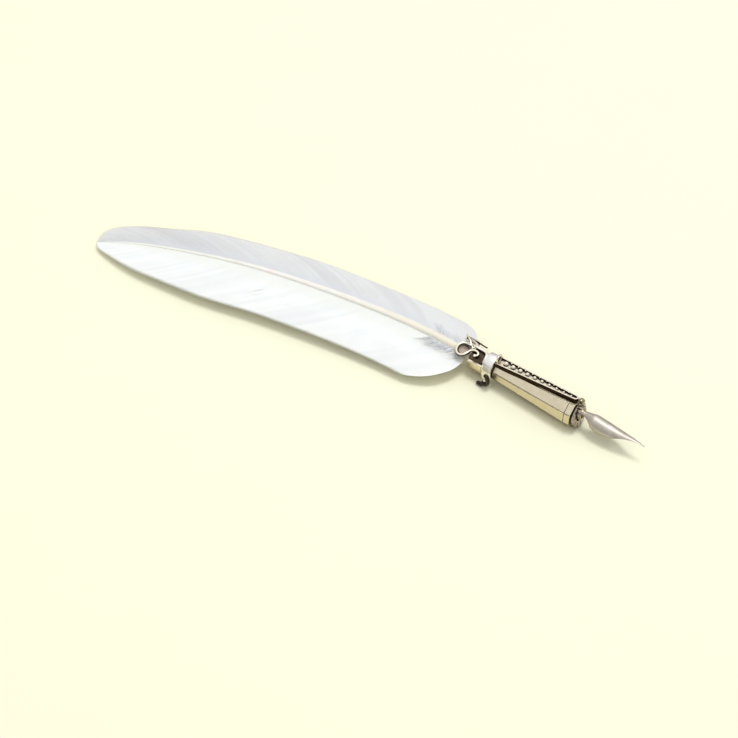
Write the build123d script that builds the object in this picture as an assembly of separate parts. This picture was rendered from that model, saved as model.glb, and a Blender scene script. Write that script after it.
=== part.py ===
"""Feather dip pen: a goose feather in an ornamental cast-metal holder with a steel nib.

The pen lies on a table (z = 0) on the lower facet of its collar and on the feet of
its two side scrolls.  +X runs along the holder's axis towards the nib, +Z is up.
The origin is the middle of the collar's lower facet.  Millimetres.
"""
import os
from math import atan2, cos, degrees, pi, radians, sin

from build123d import *

# ---- driving dimensions -------------------------------------------------------
AXIS_Z = 5.2               # height of the holder's axis over the table
COLLAR_R = 5.2             # half the collar's width across flats
COLLAR_FRONT = 1.15        # the collar reaches from -COLLAR_FRONT to +COLLAR_FRONT
NECK_R = 3.4               # half the barrel's width across flats at its neck end
NECK_X = -32.5             # neck end of the barrel
GROOVE = 0.2               # shadow gap between barrel and collar
EDGE_GROOVE_R = 0.28       # engraved line along each edge of the barrel and collar
SPIGOT_R = 4.3             # spigots inside the collar
SPIGOT_SPLIT = 0.0         # where the barrel's spigot meets the nose's
BARREL_HOLLOW_R = 2.3      # hollow between the barrel's two inserts

TUBE_R = 3.05              # neck tube, outside
TUBE_BORE_R = 2.45
TUBE_BACK = -43.6
TUBE_FRONT = -27.0
QUILL_R = 1.9              # quill shaft where it enters the tube
QUILL_FRONT = -29.0

SOCKET_UP = 0.9            # the nib's socket lies this far over the holder's axis
SOCKET_R = 1.95            # socket sleeve, outside
SOCKET_BORE_R = 1.60
SOCKET_BACK = -12.0
SOCKET_FRONT = 3.7
NIB_R = 1.55               # nib tail, outside
NIB_WALL = 0.25
CLAW_R = 1.25              # spring claw inside the nib's tail
CLAW_WALL = 0.35
NIB_BACK = -7.0
NIB_TIP = 28.7
TAIL_FRONT = 4.2           # the nib's strap tail ends and its blade begins
VENT_X = 17.6              # slot in the blade where the slit begins
SLIT = 0.08
PLUG_LENGTH = 2.0
CLAW_SLOT = 0.35

NOSE_NECK_R = 4.2          # waist between the collar and the nose's rim
NOSE_NECK = 0.5
NOSE_R = 4.6
NOSE_FRONT = 2.45          # the nose's front plane crosses the axis here
NOSE_LEAN = 9              # degrees that it leans back at the top
NOSE_TURN = 6              # degrees that it turns away from the near side
KNOB_R = 2.4               # boss on the nose round the nib's socket
KNOB_FRONT = 3.4
KNOB_GROOVES = 10
KNOB_GROOVE_R = 0.22
CHANNEL_R = 3.1            # sunk channel round the boss
CHANNEL_DEPTH = 0.8
FLUTES = 12                # short grooves across the rim of the nose
FLUTE_R = 0.26
FLUTE_REACH = 1.6
NOTCH_WIDTH = 1.7          # notch in the nose under the bar's curl

BAR_BACK = -32.9           # pearl bar on the upper facet
BAR_FRONT = 1.0
BAR_HEIGHT = 1.6
BAR_HALF_BACK = 2.25       # half widths of the bar at its two ends
BAR_HALF_FRONT = 1.15
RAIL = 0.55                # rail beside the pearls
RECESS = 0.7
PEARLS = 10
PEARL_PITCH = 3.04
FIRST_PEARL = 3.6          # from the bar's neck end
PEARL_FILL = 0.5           # pearl radius over half the width between the rails
TOOTH_FILL = 0.55          # reach of the teeth between the pearls, over the same half width
TOOTH_HALF = 0.55          # half width of a tooth where it leaves the rail
LOOP_X = -32.5             # eye at the neck end of the bar
LOOP_R = 1.4               # to the middle of its wire
LOOP_WIRE_R = 0.45
LOOP_UP = 5.6              # its centre over the holder's axis
CURL_X = 2.35              # curled end of the bar over the collar's front edge
CURL_UP = 6.35
CURL_R = 1.15
CURL_EYE_R = 0.4
CURL_WIDTH = 1.9

BAND_R = 4.45              # bright band round the neck
BAND_UP = 1.1              # its outside is centred this far over the axis
BAND_LENGTH = 3.9
BAND_X = -34.95
SADDLE_R = 4.1
SADDLE_FLOOR_R = 3.5       # dark hollow in the saddle's top
SADDLE_FLOOR_EDGE = 2.3
SADDLE_TURN = 12           # degrees that the hollow is turned to the near side
SADDLE_BACK = -43.2
SADDLE_FRONT = BAND_X - BAND_LENGTH / 2
LEAF_RIM = 0.72            # the leaf's hollow, as a share of its outline
SCROLL_X = -34.3           # side scrolls: centre of the volute
SCROLL_UP = -1.7
SCROLL_R = 2.3
SCROLL_Y = 5.4
SCROLL_THICK = 1.2
ARM_HALF = 2.0             # half width of the arm that carries the volute
ARM_THICK = 0.85
FOOT_HEIGHT = 2.0

FEATHER_TIP = (-192.8, -35.4)
SHAFT_LINE = [(-60, -0.5), (-85.5, -3.5), (-107.5, -7.3), (-129.5, -11.7), (-150.5, -17.4),
              (-171, -24.4), (-183, -29.4), FEATHER_TIP]
SHAFT_TAPER = [(0, QUILL_R), (0.2, 1.55), (0.45, 1.2), (0.7, 0.8), (0.9, 0.45), (1, 0.25)]
SHAFT_STATIONS = 14
SHAFT_RISE = 9.2           # the shaft arches: rise and fall over its whole length
SHAFT_FALL = 13.7
VANE_THICK = 0.8
VANE_GAP = 0.15            # between the shaft and the vane's inner edge
VANE_DROOP = 0.12          # slope of the vanes away from the shaft, near the tube
WIDE_EDGE = [(-45.0, -1.0), (-45.3, -8.2), (-47.3, -13.6), (-50.8, -18.9), (-55.0, -21.5), (-61, -22.4),
             (-81, -24.4), (-108, -29.3), (-139.6, -37.1), (-158, -40.0), (-174, -41.2),
             (-186, -39.7), (-193.6, -35.5)]
NARROW_EDGE = [(-45.2, 1.0), (-46.2, 6.5), (-49.2, 11.4), (-53.0, 14.0), (-58.5, 14.8), (-73.2, 13.7),
               (-95.7, 10.8), (-118.2, 7.0), (-139.3, 1.2), (-164.8, -8.0), (-184, -16.9),
               (-193.5, -25.0), (-195.4, -31.5), (-193.6, -35.5)]

NEAR, FAR = -1, 1          # sides of the pen, as signs of y


# ---- helpers ------------------------------------------------------------------
def holder(x=0.0, up=0.0, y=0.0):
    """Place on the holder's axis: x along it, up and y from it, local Z along +X."""
    return Location(Plane(origin=(x, y, AXIS_Z + up), x_dir=(0, 1, 0), z_dir=(1, 0, 0)))


def rod(radius, x_from, x_to, up=0.0):
    """Round rod along the holder's axis."""
    return holder(x_from, up) * extrude(Circle(radius), amount=x_to - x_from)


def pipe(radius, bore, x_from, x_to, up=0.0):
    """Round tube along the holder's axis."""
    return rod(radius, x_from, x_to, up) - rod(bore, x_from - 1, x_to + 1, up)


def octagon_face(radius, x, up=0.0):
    """Octagon with a flat at the top, given by its half width across flats."""
    flat = RegularPolygon(radius / cos(pi / 8), 8, rotation=22.5)
    return holder(x, up) * flat


def octagon_rod(radius, x_from, x_to):
    """Straight octagonal rod along the holder's axis."""
    return extrude(octagon_face(radius, x_from), amount=x_to - x_from, dir=(1, 0, 0))


def level_plate(points, bottom, thickness):
    """Flat plate with the given outline, its underside at bottom over the axis."""
    outline = make_face(Polyline(*points, close=True))
    return Pos(0, 0, AXIS_Z + bottom) * extrude(outline, amount=thickness)


def smooth_plate(points, bottom, thickness):
    """Flat plate whose outline is one closed smooth curve through the points."""
    outline = make_face(Spline(*points, periodic=True))
    return Pos(0, 0, AXIS_Z + bottom) * extrude(outline, amount=thickness)


def ball(radius, x, y, up):
    return Pos(x, y, AXIS_Z + up) * Sphere(radius)


# ---- holder: nib, socket and nose ---------------------------------------------
def nib_section(x, radius, centre_up, half_angle):
    """Cross-section of the nib's sheet at x: an arch of the given radius."""
    inner = radius - NIB_WALL
    reach = radians(half_angle)

    def on_arch(r, angle):
        return (x, r * sin(angle), AXIS_Z + centre_up + r * cos(angle))

    outside = ThreePointArc(on_arch(radius, -reach), on_arch(radius, 0), on_arch(radius, reach))
    inside = ThreePointArc(on_arch(inner, reach), on_arch(inner, 0), on_arch(inner, -reach))
    near_edge = Line(on_arch(inner, -reach), on_arch(radius, -reach))
    far_edge = Line(on_arch(radius, reach), on_arch(inner, reach))
    return make_face([outside, far_edge, inside, near_edge])


def nib():
    """Pointed steel nib: strap tail, waist, wide shoulders and two long tines."""
    tail = extrude(nib_section(NIB_BACK, NIB_R, SOCKET_UP, 55), amount=TAIL_FRONT - NIB_BACK, dir=(1, 0, 0))
    stations = [
        (TAIL_FRONT, NIB_R, SOCKET_UP, 55),
        (6.6, 2.1, 0.60, 76),
        (8.8, 2.95, -0.05, 100),
        (11.0, 3.1, -0.45, 100),
        (13.6, 3.05, -0.65, 96),
        (16.0, 2.85, -0.70, 88),
        (17.6, 2.7, -0.68, 76),
        (19.4, 2.45, -0.55, 60),
        (22.2, 1.95, -0.15, 42),
        (25.2, 1.35, 0.35, 28),
        (NIB_TIP, 0.55, 0.65, 20),
    ]
    blade = loft([nib_section(*station) for station in stations], ruled=True)
    slit_end = NIB_TIP + 1
    slit = Pos((VENT_X + slit_end) / 2, 0, AXIS_Z + 2) * Box(slit_end - VENT_X, SLIT, 4)
    vent = Pos(VENT_X, 0, AXIS_Z) * extrude(SlotOverall(1.7, 0.55), amount=5)
    return tail + blade - slit - vent


def socket_sleeve():
    """Sleeve in the nose that holds the nib's tail from outside."""
    return pipe(SOCKET_R, SOCKET_BORE_R, SOCKET_BACK, SOCKET_FRONT, SOCKET_UP)


def socket_plug():
    """Disc that closes the back of the sleeve and carries the claw."""
    return rod(SOCKET_BORE_R, SOCKET_BACK, SOCKET_BACK + PLUG_LENGTH, SOCKET_UP)


def nib_claw():
    """Slit spring claw that presses the nib's tail outwards against the sleeve."""
    back = SOCKET_BACK + PLUG_LENGTH
    claw = pipe(CLAW_R, CLAW_R - CLAW_WALL, back, SOCKET_FRONT - 0.5, SOCKET_UP)
    slot_length = SOCKET_FRONT - back - 3.0
    for turn in (0, 90):
        slot = Box(slot_length, CLAW_SLOT, 4 * CLAW_R)
        slot = Pos(SOCKET_FRONT - slot_length / 2, 0, AXIS_Z + SOCKET_UP) * Rot(turn, 0, 0) * slot
        claw -= slot
    return claw


def nose_cap():
    """Round nose: waist, rim with a leaning front, fluted boss for the socket, notch on top."""
    front = Pos(NOSE_FRONT, 0, AXIS_Z) * Rot(0, -NOSE_LEAN, NOSE_TURN)
    neck_front = COLLAR_FRONT + NOSE_NECK
    rim = rod(NOSE_R, neck_front, NOSE_FRONT + 3)
    rim -= front * Pos(5, 0, 0) * Box(10, 20, 20)
    facing = front * Pos(0, 0, SOCKET_UP) * Rot(0, 90, 0)
    rim -= facing * Pos(0, 0, -CHANNEL_DEPTH) * extrude(Circle(CHANNEL_R), amount=2)
    for step in range(FLUTES):
        turn = Rot(0, 0, 360 / FLUTES * step)
        start = Pos(CHANNEL_R + 0.25, 0, 0) * Rot(0, 90, 0)
        rim -= facing * turn * start * extrude(Circle(FLUTE_R), amount=FLUTE_REACH)
    rim -= Pos(neck_front + 2.5, 0, AXIS_Z + NOSE_R) * Box(5, NOTCH_WIDTH, 2.2)
    neck = rod(SPIGOT_R, SPIGOT_SPLIT, COLLAR_FRONT) + rod(NOSE_NECK_R, COLLAR_FRONT, neck_front)
    boss = rod(KNOB_R, COLLAR_FRONT, KNOB_FRONT, SOCKET_UP)
    groove = extrude(Circle(KNOB_GROOVE_R), amount=4)
    for step in range(KNOB_GROOVES):
        turn = 2 * pi * step / KNOB_GROOVES
        boss -= holder(neck_front, SOCKET_UP) * Pos(KNOB_R * cos(turn), KNOB_R * sin(turn), 0) * groove
    socket_hole = rod(SOCKET_R, SPIGOT_SPLIT - 1, KNOB_FRONT + 1, SOCKET_UP)
    return rim + neck + boss - socket_hole


# ---- holder: collar, barrel and neck tube -------------------------------------
def edge_grooves(back, back_r, front, front_r):
    """Eight round grooves along the edges of an octagonal body between its two ends."""
    grooves = []
    for step in range(8):
        turn = pi / 8 + step * pi / 4
        across, up = sin(turn) / cos(pi / 8), cos(turn) / cos(pi / 8)
        start = Vector(back, back_r * across, AXIS_Z + back_r * up)
        end = Vector(front, front_r * across, AXIS_Z + front_r * up)
        line = end - start
        start, length = start - line.normalized(), line.length + 2
        grooves.append(extrude(Plane(start, z_dir=line) * Circle(EDGE_GROOVE_R), amount=length, dir=line))
    return Compound(children=grooves)


def collar_ring():
    """Octagonal ring at the wide end of the barrel; the pen rests on its lower facet."""
    ring = octagon_rod(COLLAR_R, -COLLAR_FRONT, COLLAR_FRONT)
    ring -= rod(SPIGOT_R, -COLLAR_FRONT - 1, COLLAR_FRONT + 1)
    return ring - edge_grooves(-COLLAR_FRONT, COLLAR_R, COLLAR_FRONT, COLLAR_R)


def barrel():
    """Octagonal barrel that flares from the neck to the collar, bored for its inserts."""
    front = -COLLAR_FRONT - GROOVE
    body = loft([octagon_face(NECK_R, NECK_X), octagon_face(COLLAR_R, front)])
    spigot = rod(SPIGOT_R, front, SPIGOT_SPLIT)
    tube_hole = rod(TUBE_R, NECK_X - 1, TUBE_FRONT)
    hollow = rod(BARREL_HOLLOW_R, TUBE_FRONT - 1, SOCKET_BACK - 4)
    socket_hole = rod(SOCKET_R, SOCKET_BACK - 5, 2, SOCKET_UP)
    body -= edge_grooves(NECK_X, NECK_R, front, COLLAR_R)
    return body + spigot - tube_hole - hollow - socket_hole


def neck_tube():
    """Thin tube that joins the barrel to the quill."""
    return pipe(TUBE_R, TUBE_BORE_R, TUBE_BACK, TUBE_FRONT)


def quill_glue():
    """Resin between the quill and the neck tube."""
    return pipe(TUBE_BORE_R, QUILL_R, TUBE_BACK + 0.6, QUILL_FRONT)


# ---- pearl bar ----------------------------------------------------------------
def facet_place(along):
    """Place on the barrel's upper facet: local X runs along it towards the nib."""
    facet_length = -COLLAR_FRONT - GROOVE - NECK_X
    slope = atan2(COLLAR_R - NECK_R, facet_length)
    return Pos(NECK_X, 0, AXIS_Z + NECK_R) * Rot(0, -degrees(slope), 0) * Pos(along, 0, 0)


def bar_half_width(x):
    share = (x - BAR_BACK) / (BAR_FRONT - BAR_BACK)
    return BAR_HALF_BACK + (BAR_HALF_FRONT - BAR_HALF_BACK) * share


def bar_outline(inset):
    """Long tapering outline, square at the neck end and round at the nib end."""
    back = BAR_BACK - NECK_X + inset
    front = BAR_FRONT - NECK_X - BAR_HALF_FRONT
    half_back = BAR_HALF_BACK - inset
    half_front = BAR_HALF_FRONT - inset
    near_side = Line((back, -half_back), (front, -half_front))
    round_end = ThreePointArc((front, -half_front), (front + half_front, 0), (front, half_front))
    far_side = Line((front, half_front), (back, half_back))
    end = Line((back, half_back), (back, -half_back))
    return make_face([near_side, round_end, far_side, end])


def pearl_along(index):
    """Distance of a pearl from the facet's neck end; halves are midway between two pearls."""
    return BAR_BACK - NECK_X + FIRST_PEARL + PEARL_PITCH * index


def pearl_bar():
    """Bar with two rails, a sunk bed for the pearls and a pair of teeth between each two."""
    bar = extrude(bar_outline(0), amount=BAR_HEIGHT)
    bed = extrude(bar_outline(RAIL), amount=RECESS + 1)
    for index in range(PEARLS - 1):
        along = pearl_along(index + 0.5)
        half = bar_half_width(along + NECK_X)
        reach = TOOTH_FILL * (half - RAIL)
        for side in (NEAR, FAR):
            tooth = Polyline((along - TOOTH_HALF, side * half), (along + TOOTH_HALF, side * half),
                             (along, side * (half - RAIL - reach)), close=True)
            bed -= extrude(make_face(tooth), amount=RECESS)
    return facet_place(0) * (bar - Pos(0, 0, BAR_HEIGHT - RECESS) * bed) - collar_ring()


def pearls():
    """Row of half-sunk pearls, smaller towards the nib."""
    floor = BAR_HEIGHT - RECESS
    row = []
    for index in range(PEARLS):
        along = pearl_along(index)
        radius = PEARL_FILL * (bar_half_width(along + NECK_X) - RAIL)
        pearl = Pos(0, 0, 0.75 * radius) * Sphere(radius)
        pearl &= Pos(0, 0, radius) * Box(4, 4, 2 * radius)
        row.append(facet_place(along) * Pos(0, 0, floor) * pearl)
    return Compound(children=row)


def bar_loop():
    """Small upright eye over the neck end of the bar."""
    loop = holder(LOOP_X, LOOP_UP) * Torus(LOOP_R, LOOP_WIRE_R)
    above_bar = facet_place(LOOP_X - NECK_X) * Pos(0, 0, BAR_HEIGHT + 3) * Box(6, 6, 6)
    return loop & above_bar


def bar_scroll():
    """Curled end of the bar that hooks over the collar's front edge."""
    place = Pos(CURL_X, 0, AXIS_Z + CURL_UP) * Rot(90, 0, 0)
    curl = place * Cylinder(CURL_R, CURL_WIDTH)
    eye = place * Cylinder(CURL_EYE_R, 2 * CURL_WIDTH)
    return curl - eye - pearl_bar() - collar_ring() - nose_cap()


# ---- neck ornament ------------------------------------------------------------
def neck_band():
    """Bright band, thicker on top, that wraps the neck tube."""
    band = Pos(BAND_X, 0, AXIS_Z + BAND_UP) * Rot(0, 90, 0) * Cylinder(BAND_R, BAND_LENGTH)
    return band - rod(TUBE_R, BAND_X - 4, BAND_X + 4)


def saddle():
    """Sleeve round the tube beside the band, hollowed out on its top and near side."""
    sleeve = pipe(SADDLE_R, TUBE_R, SADDLE_BACK, SADDLE_FRONT)
    middle = Pos((SADDLE_BACK + SADDLE_FRONT) / 2, 0, AXIS_Z) * Rot(SADDLE_TURN, 0, 0)
    above = middle * Pos(0, 0, SADDLE_FLOOR_EDGE + 4) * Box(12, 14, 8)
    return sleeve - (pipe(SADDLE_R + 1, SADDLE_FLOOR_R, SADDLE_BACK - 1, SADDLE_FRONT + 1) & above)


def leaf_scroll():
    """Spoon-shaped leaf over the quill, with a raised rim."""
    outline = [(-44.0, 0.2), (-46.6, 1.9), (-48.9, 1.3), (-49.4, -1.2), (-48.2, -3.4), (-46.0, -4.2),
               (-44.6, -3.0), (-43.9, -1.4)]
    plate = smooth_plate(outline, 2.7, 1.2)
    middle = (-46.6, -1.2)
    inner = [(middle[0] + LEAF_RIM * (x - middle[0]), middle[1] + LEAF_RIM * (y - middle[1]))
             for x, y in outline]
    hollow = smooth_plate(inner, 3.2, 2)
    return plate - hollow - rod(SADDLE_R, -43.7, -40)


def leaf_curl():
    """Stem of the leaf that curls round into a ball."""
    stem = level_plate([(-43.9, 0.9), (-43.9, -0.9), (-41.9, -0.9), (-41.3, -2.2), (-40.6, -2.2),
                        (-40.6, -0.3), (-41.6, 0.7)], 3.05, 1.0)
    return stem + ball(0.75, -40.9, -2.6, 3.5) - saddle() - leaf_scroll() - rod(TUBE_R, -46, -36)


def horn_leaf():
    """Pointed leaf that springs from the far side of the saddle towards the feather."""
    outline = [(-49.3, 4.6), (-47.4, 1.9), (-45.6, 2.5), (-43.0, 2.2), (-43.0, 4.2), (-45.4, 5.0)]
    return level_plate(outline, 3.7, 0.9) - saddle() - leaf_scroll()


def horn_ribbon():
    """Narrow ribbon that runs on from the horn leaf towards the band."""
    outline = [(-43.0, 2.65), (-39.6, 2.9), (-39.3, 4.1), (-43.0, 4.2)]
    return level_plate(outline, 3.9, 0.9) - saddle() - neck_band()


def side_scroll(side):
    """Arm that leaves the band and ends in a volute with a small foot on the table."""
    outer = [(BAND_R - 0.6, 2.6), (4.7, 1.2), (5.3, -0.5), (5.4, -1.9)]
    inner = [(y - ARM_THICK, up - 0.1) for y, up in reversed(outer)]
    strip = make_face(Polyline(*outer, *inner, close=True))
    arm_place = Pos(SCROLL_X - ARM_HALF, 0, AXIS_Z) * Plane.YZ.location
    arm = arm_place * extrude(strip, amount=2 * ARM_HALF)
    facing = Pos(SCROLL_X, SCROLL_Y, AXIS_Z + SCROLL_UP) * Rot(90, 0, 0)
    ring_groove = Pos(0.2, 0.1, 0) * (Cylinder(1.35, 4) - Cylinder(0.6, 4))
    bridge = Box(0.8, 9, 9)
    volute = facing * (Cylinder(SCROLL_R, SCROLL_THICK) - (ring_groove - bridge))
    foot = Pos(SCROLL_X - 2.0, SCROLL_Y, FOOT_HEIGHT / 2) * Box(2.6, SCROLL_THICK, FOOT_HEIGHT)
    scroll = arm + volute + foot - rod(TUBE_R + 0.02, -45, -28)
    if side == NEAR:
        scroll = mirror(scroll, about=Plane.XZ)
    return scroll - neck_band()


# ---- feather ------------------------------------------------------------------
def shaft_share(x):
    return (TUBE_BACK - x) / (TUBE_BACK - FEATHER_TIP[0])


def shaft_height(x):
    """Height of the shaft's middle: it arches gently and comes down at the tip."""
    share = shaft_share(x)
    return AXIS_Z + SHAFT_RISE * share - SHAFT_FALL * share ** 2


def shaft_path():
    points = [(TUBE_BACK, 0, AXIS_Z)] + [(x, y, shaft_height(x)) for x, y in SHAFT_LINE]
    return Spline(points, tangents=[(-1, 0, 0), (-0.8, -0.58, -0.12)])


def shaft_radius(share):
    """Radius of the shaft at a share of its length, between the taper's stations."""
    for (start, r_start), (end, r_end) in zip(SHAFT_TAPER, SHAFT_TAPER[1:]):
        if share <= end:
            return r_start + (r_end - r_start) * (share - start) / (end - start)
    return SHAFT_TAPER[-1][1]


def feather_shaft():
    """Quill inside the tube and the shaft that tapers to the feather's tip."""
    quill = rod(QUILL_R, TUBE_BACK, QUILL_FRONT)
    path = shaft_path()
    sections = []
    for step in range(SHAFT_STATIONS + 1):
        share = step / SHAFT_STATIONS
        plane = Plane(origin=path @ share, x_dir=(0, 0, 1), z_dir=path % share)
        sections.append(plane * Circle(shaft_radius(share)))
    return quill + loft(sections)


def vane(edge, side):
    """One half of the feather's web: a thin sheet from beside the shaft to its outer edge."""
    path = shaft_path()
    reach = 32
    past_tip = path @ 1 + (path % 1) * 6
    stations = [(step / 13, path @ (step / 13)) for step in range(14)] + [(1, past_tip)]
    sections = []
    for share, centre in stations:
        inner = centre.Y + side * (shaft_radius(share) + VANE_GAP)
        outer = inner + side * reach
        top = centre.Z + 0.2
        outer_top = top - VANE_DROOP * (1 - share ** 2) * reach
        corners = [(centre.X, inner, top), (centre.X, outer, outer_top),
                   (centre.X, outer, outer_top - VANE_THICK), (centre.X, inner, top - VANE_THICK)]
        sections.append(make_face(Polyline(*corners, close=True)))
    sheet = loft(sections)
    under_shaft = [(-183, -29.4 - side * 4), (-129.5, -11.7 - side * 4), (-85.5, -3.5 - side * 4)]
    outline = make_face([Spline(*edge), Polyline(edge[-1], *under_shaft, edge[0])])
    return sheet & extrude(outline, amount=20)


def wide_vane():
    return vane(WIDE_EDGE, NEAR)


def narrow_vane():
    return vane(NARROW_EDGE, FAR)


os.makedirs("parts", exist_ok=True)

NODES = {
    "nib": nib(),
    "socket_sleeve": socket_sleeve(),
    "socket_plug": socket_plug(),
    "nib_claw": nib_claw(),
    "nose_cap": nose_cap(),
    "collar_ring": collar_ring(),
    "barrel": barrel(),
    "neck_tube": neck_tube(),
    "quill_glue": quill_glue(),
    "pearl_bar": pearl_bar(),
    "pearls": pearls(),
    "bar_loop": bar_loop(),
    "bar_scroll": bar_scroll(),
    "neck_band": neck_band(),
    "saddle": saddle(),
    "leaf_scroll": leaf_scroll(),
    "leaf_curl": leaf_curl(),
    "horn_leaf": horn_leaf(),
    "horn_ribbon": horn_ribbon(),
    "side_scroll_near": side_scroll(NEAR),
    "side_scroll_far": side_scroll(FAR),
    "feather_shaft": feather_shaft(),
    "wide_vane": wide_vane(),
    "narrow_vane": narrow_vane(),
}

for name, shape in NODES.items():
    export_step(shape, f"parts/{name}.step")
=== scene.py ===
"""Looks of the quill pen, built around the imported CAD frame.

The feather's barbs, its shaft, the nib and the cast neck ornament are modelled here in
millimetres in the row frame and scaled to metres once, in add_piece().  Turned and
flat metal parts stay as the CAD nodes, with bevelled edges and aged-metal materials.
"""
import math

import bpy
import numpy as np
from mathutils import Matrix, Vector


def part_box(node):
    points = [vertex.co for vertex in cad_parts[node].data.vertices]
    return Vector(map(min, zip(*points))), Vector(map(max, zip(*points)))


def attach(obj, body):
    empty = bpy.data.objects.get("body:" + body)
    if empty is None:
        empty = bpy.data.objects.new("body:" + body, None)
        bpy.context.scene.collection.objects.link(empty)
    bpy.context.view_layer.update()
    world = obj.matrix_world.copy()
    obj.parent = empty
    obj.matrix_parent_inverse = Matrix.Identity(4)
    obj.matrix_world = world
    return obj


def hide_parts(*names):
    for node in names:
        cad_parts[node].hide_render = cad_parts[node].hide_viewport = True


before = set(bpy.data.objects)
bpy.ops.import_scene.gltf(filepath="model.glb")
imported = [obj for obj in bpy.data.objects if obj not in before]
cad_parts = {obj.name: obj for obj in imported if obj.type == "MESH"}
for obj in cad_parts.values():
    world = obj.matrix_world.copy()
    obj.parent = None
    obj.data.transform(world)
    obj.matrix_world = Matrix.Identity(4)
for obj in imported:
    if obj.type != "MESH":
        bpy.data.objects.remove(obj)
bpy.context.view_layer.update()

MM = 0.001
NEAR, FAR = -1, 1                       # sides of the pen, as signs of y

# ---- places read from the frame, in millimetres ------------------------------------


def box_mm(node):
    low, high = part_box(node)
    return np.array(low) / MM, np.array(high) / MM


barrel_low, barrel_high = box_mm("barrel")
tube_low, tube_high = box_mm("neck_tube")
band_low, band_high = box_mm("neck_band")
nib_low, nib_high = box_mm("nib")
shaft_high = box_mm("feather_shaft")[1]
SADDLE_BACK = box_mm("saddle")[0][0]

AXIS_Z = (barrel_low[2] + barrel_high[2]) / 2
TUBE_R = (tube_high[1] - tube_low[1]) / 2
TUBE_BACK = tube_low[0]
QUILL_R = shaft_high[1]
QUILL_FRONT = shaft_high[0]
HOLLOW_R = TUBE_R + 0.45                # floor of the saddle's hollow
NIB_BACK, NIB_TIP = nib_low[0], nib_high[0]

# ---- feather -----------------------------------------------------------------------
FEATHER_TIP = (-192.8, -35.4)
SHAFT_LINE = [(-60, -0.5), (-85.5, -3.5), (-107.5, -7.3), (-129.5, -11.7), (-150.5, -17.4),
              (-171, -24.4), (-183, -29.4), FEATHER_TIP]
SHAFT_TAPER = ([0, 0.2, 0.45, 0.7, 0.9, 1], [QUILL_R, 1.55, 1.2, 0.8, 0.45, 0.12])
SHAFT_RISE, SHAFT_FALL = 9.2, 13.7
WIDE_EDGE = [(-59.5, -22.0), (-70, -23.0), (-81, -24.4), (-108, -29.3), (-123.9, -32.9), (-139.6, -37.1),
             (-157.2, -39.7), (-171.7, -41.0), (-184.8, -39.8), (-190.8, -37.8), FEATHER_TIP]
NARROW_EDGE = [(-60, 14.6), (-73.2, 13.7), (-84.5, 12.3), (-95.7, 10.7), (-107, 9.0), (-118.2, 7.0),
               (-128.8, 4.2), (-139.3, 1.2), (-149.8, -2.0), (-164.8, -8.0), (-173.6, -13.5),
               (-182.6, -18.7), (-189.9, -24.0), (-193.9, -30.6), FEATHER_TIP]
BARBS = 520                             # barbs in each vane
BARB_STATIONS = 24
ROOT_BULGE = 0.41                       # bow of the short barbs where the web begins
BARB_RIDGE, BARB_KEEL = 0.05, 0.06      # height of a barb's midrib above and below the web
TABLE_GAP = 0.28                        # the web's middle line never comes nearer to the table
DOWN_WISPS = 150
DOWN_BACK, DOWN_FRONT = -60.0, -45.6    # stretch of the shaft with down


class Smooth:
    """Natural cubic spline through points, driven by the share of the distance along them."""

    def __init__(self, points):
        self.points = np.array(points, float)
        steps = np.linalg.norm(np.diff(self.points, axis=0), axis=1)
        self.knots = np.concatenate([[0], np.cumsum(steps)]) / steps.sum()
        gaps = np.diff(self.knots)
        count = len(self.points)
        system = np.eye(count)
        right = np.zeros_like(self.points)
        slopes = np.diff(self.points, axis=0) / gaps[:, None]
        for i in range(1, count - 1):
            system[i, i - 1:i + 2] = gaps[i - 1], 2 * (gaps[i - 1] + gaps[i]), gaps[i]
            right[i] = 6 * (slopes[i] - slopes[i - 1])
        self.bends = np.linalg.solve(system, right)

    def at(self, share):
        share = np.atleast_1d(np.asarray(share, float))
        i = np.clip(np.searchsorted(self.knots, share, side="right") - 1, 0, len(self.knots) - 2)
        gap = (self.knots[i + 1] - self.knots[i])[:, None]
        after = (share - self.knots[i])[:, None] / gap
        before = 1 - after
        return (before * self.points[i] + after * self.points[i + 1]
                + gap ** 2 / 6 * ((before ** 3 - before) * self.bends[i]
                                  + (after ** 3 - after) * self.bends[i + 1]))

    def direction(self, share):
        share = np.atleast_1d(np.asarray(share, float))
        step = 1e-3
        ahead = self.at(np.minimum(share + step, 1)) - self.at(np.maximum(share - step, 0))
        return ahead / np.linalg.norm(ahead, axis=1)[:, None]


def eased(x, xs, ys):
    """Smooth curve through (xs, ys) that never overshoots (Fritsch-Carlson)."""
    xs, ys = np.array(xs, float), np.array(ys, float)
    x = np.clip(np.atleast_1d(np.asarray(x, float)), xs[0], xs[-1])
    gaps, slopes = np.diff(xs), np.diff(ys) / np.diff(xs)
    tangents = np.zeros_like(ys)
    for i in range(1, len(xs) - 1):
        if slopes[i - 1] * slopes[i] > 0:
            tangents[i] = 2 / (1 / slopes[i - 1] + 1 / slopes[i])
    tangents[0], tangents[-1] = slopes[0], slopes[-1]
    i = np.clip(np.searchsorted(xs, x, side="right") - 1, 0, len(xs) - 2)
    t = (x - xs[i]) / gaps[i]
    return ((1 + 2 * t) * (1 - t) ** 2 * ys[i] + t * (1 - t) ** 2 * gaps[i] * tangents[i]
            + t * t * (3 - 2 * t) * ys[i + 1] + t * t * (t - 1) * gaps[i] * tangents[i + 1])


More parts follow.
